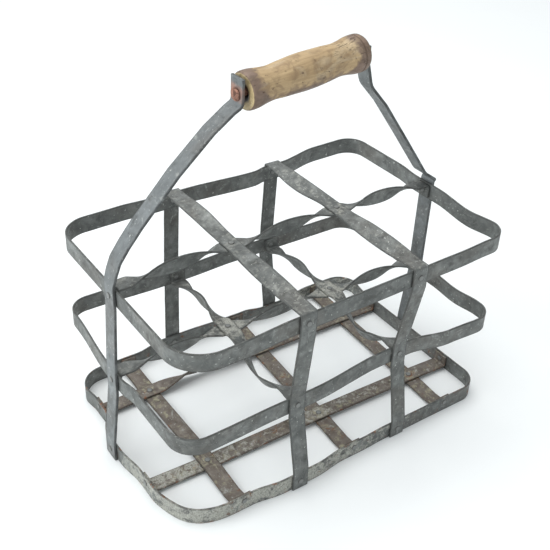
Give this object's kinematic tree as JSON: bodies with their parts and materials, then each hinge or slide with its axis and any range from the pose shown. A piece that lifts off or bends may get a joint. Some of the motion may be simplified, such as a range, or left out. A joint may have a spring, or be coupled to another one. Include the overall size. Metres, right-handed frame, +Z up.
{
  "type": "milk bottle crate",
  "caption": "Open bottle carrier of riveted flat steel strap: hoops and twisted dividers that part the bottles, a fixed arched bail and a turned wooden grip that spins on its rod.",
  "frame": {"origin": "on the ground under the middle of the whole outline", "axes": "+Z up, +X along the carrier and its grip, +Y across it"},
  "size_m": [0.3265, 0.2198, 0.324],
  "materials": {
    "strap_steel": "old galvanising: dull blue grey with spangle, white oxide specks and dark edges",
    "arm_steel": "old galvanising, lighter and bluer than the hoops, with rust at the rod",
    "floor_steel": "worn galvanising, brown grey with patches of rust where bottles stood",
    "rivet_steel": "dull domed rivet heads with a dark ring of dirt",
    "rod_steel": "rusted bare steel",
    "grip_wood": "dry turned softwood, worn pale, with dark ends, cracks and pits"
  },
  "bodies": {
    "carrier": {"bottom_hoop": "strap_steel", "cross_frame_left": "strap_steel", "cross_frame_right": "strap_steel", "end_strap_left": "arm_steel", "end_strap_right": "arm_steel", "floor_cross_centre": "floor_steel", "floor_cross_left": "floor_steel", "floor_cross_right": "floor_steel", "floor_long_back": "floor_steel", "floor_long_front": "floor_steel", "handle_rod": "rod_steel", "middle_cross_left": "strap_steel", "middle_cross_right": "strap_steel", "middle_hoop": "strap_steel", "middle_long_divider": "strap_steel", "rivet_bottom_back_left": "rivet_steel", "rivet_bottom_back_right": "rivet_steel", "rivet_bottom_end_left": "rivet_steel", "rivet_bottom_end_right": "rivet_steel", "rivet_bottom_front_left": "rivet_steel", "rivet_bottom_front_right": "rivet_steel", "rivet_floor_back_left": "rivet_steel", "rivet_floor_back_right": "rivet_steel", "rivet_floor_centre_back": "rivet_steel", "rivet_floor_centre_front": "rivet_steel", "rivet_floor_crossing_centre_back": "rivet_steel", "rivet_floor_crossing_centre_front": "rivet_steel", "rivet_floor_crossing_left_back": "rivet_steel", "rivet_floor_crossing_left_front": "rivet_steel", "rivet_floor_crossing_right_back": "rivet_steel", "rivet_floor_crossing_right_front": "rivet_steel", "rivet_floor_front_left": "rivet_steel", "rivet_floor_front_right": "rivet_steel", "rivet_floor_left_back": "rivet_steel", "rivet_floor_left_front": "rivet_steel", "rivet_floor_right_back": "rivet_steel", "rivet_floor_right_front": "rivet_steel", "rivet_middle_back_left": "rivet_steel", "rivet_middle_back_right": "rivet_steel", "rivet_middle_crossing_left": "rivet_steel", "rivet_middle_crossing_right": "rivet_steel", "rivet_middle_end_left": "rivet_steel", "rivet_middle_end_right": "rivet_steel", "rivet_middle_front_left": "rivet_steel", "rivet_middle_front_right": "rivet_steel", "rivet_top_back_left": "rivet_steel", "rivet_top_back_right": "rivet_steel", "rivet_top_crossing_left": "rivet_steel", "rivet_top_crossing_right": "rivet_steel", "rivet_top_end_left": "rivet_steel", "rivet_top_end_right": "rivet_steel", "rivet_top_front_left": "rivet_steel", "rivet_top_front_right": "rivet_steel", "top_hoop": "strap_steel", "top_long_divider": "strap_steel"},
    "grip": {"grip": "grip_wood"}
  },
  "joints": [
    {"name": "grip_spin", "type": "hinge", "parent": "carrier", "child": "grip", "pos_m": [0.0105, -0.00175, 0.30615], "axis": [0.9951, 0.0783, 0.0606], "continuous": true}
  ]
}
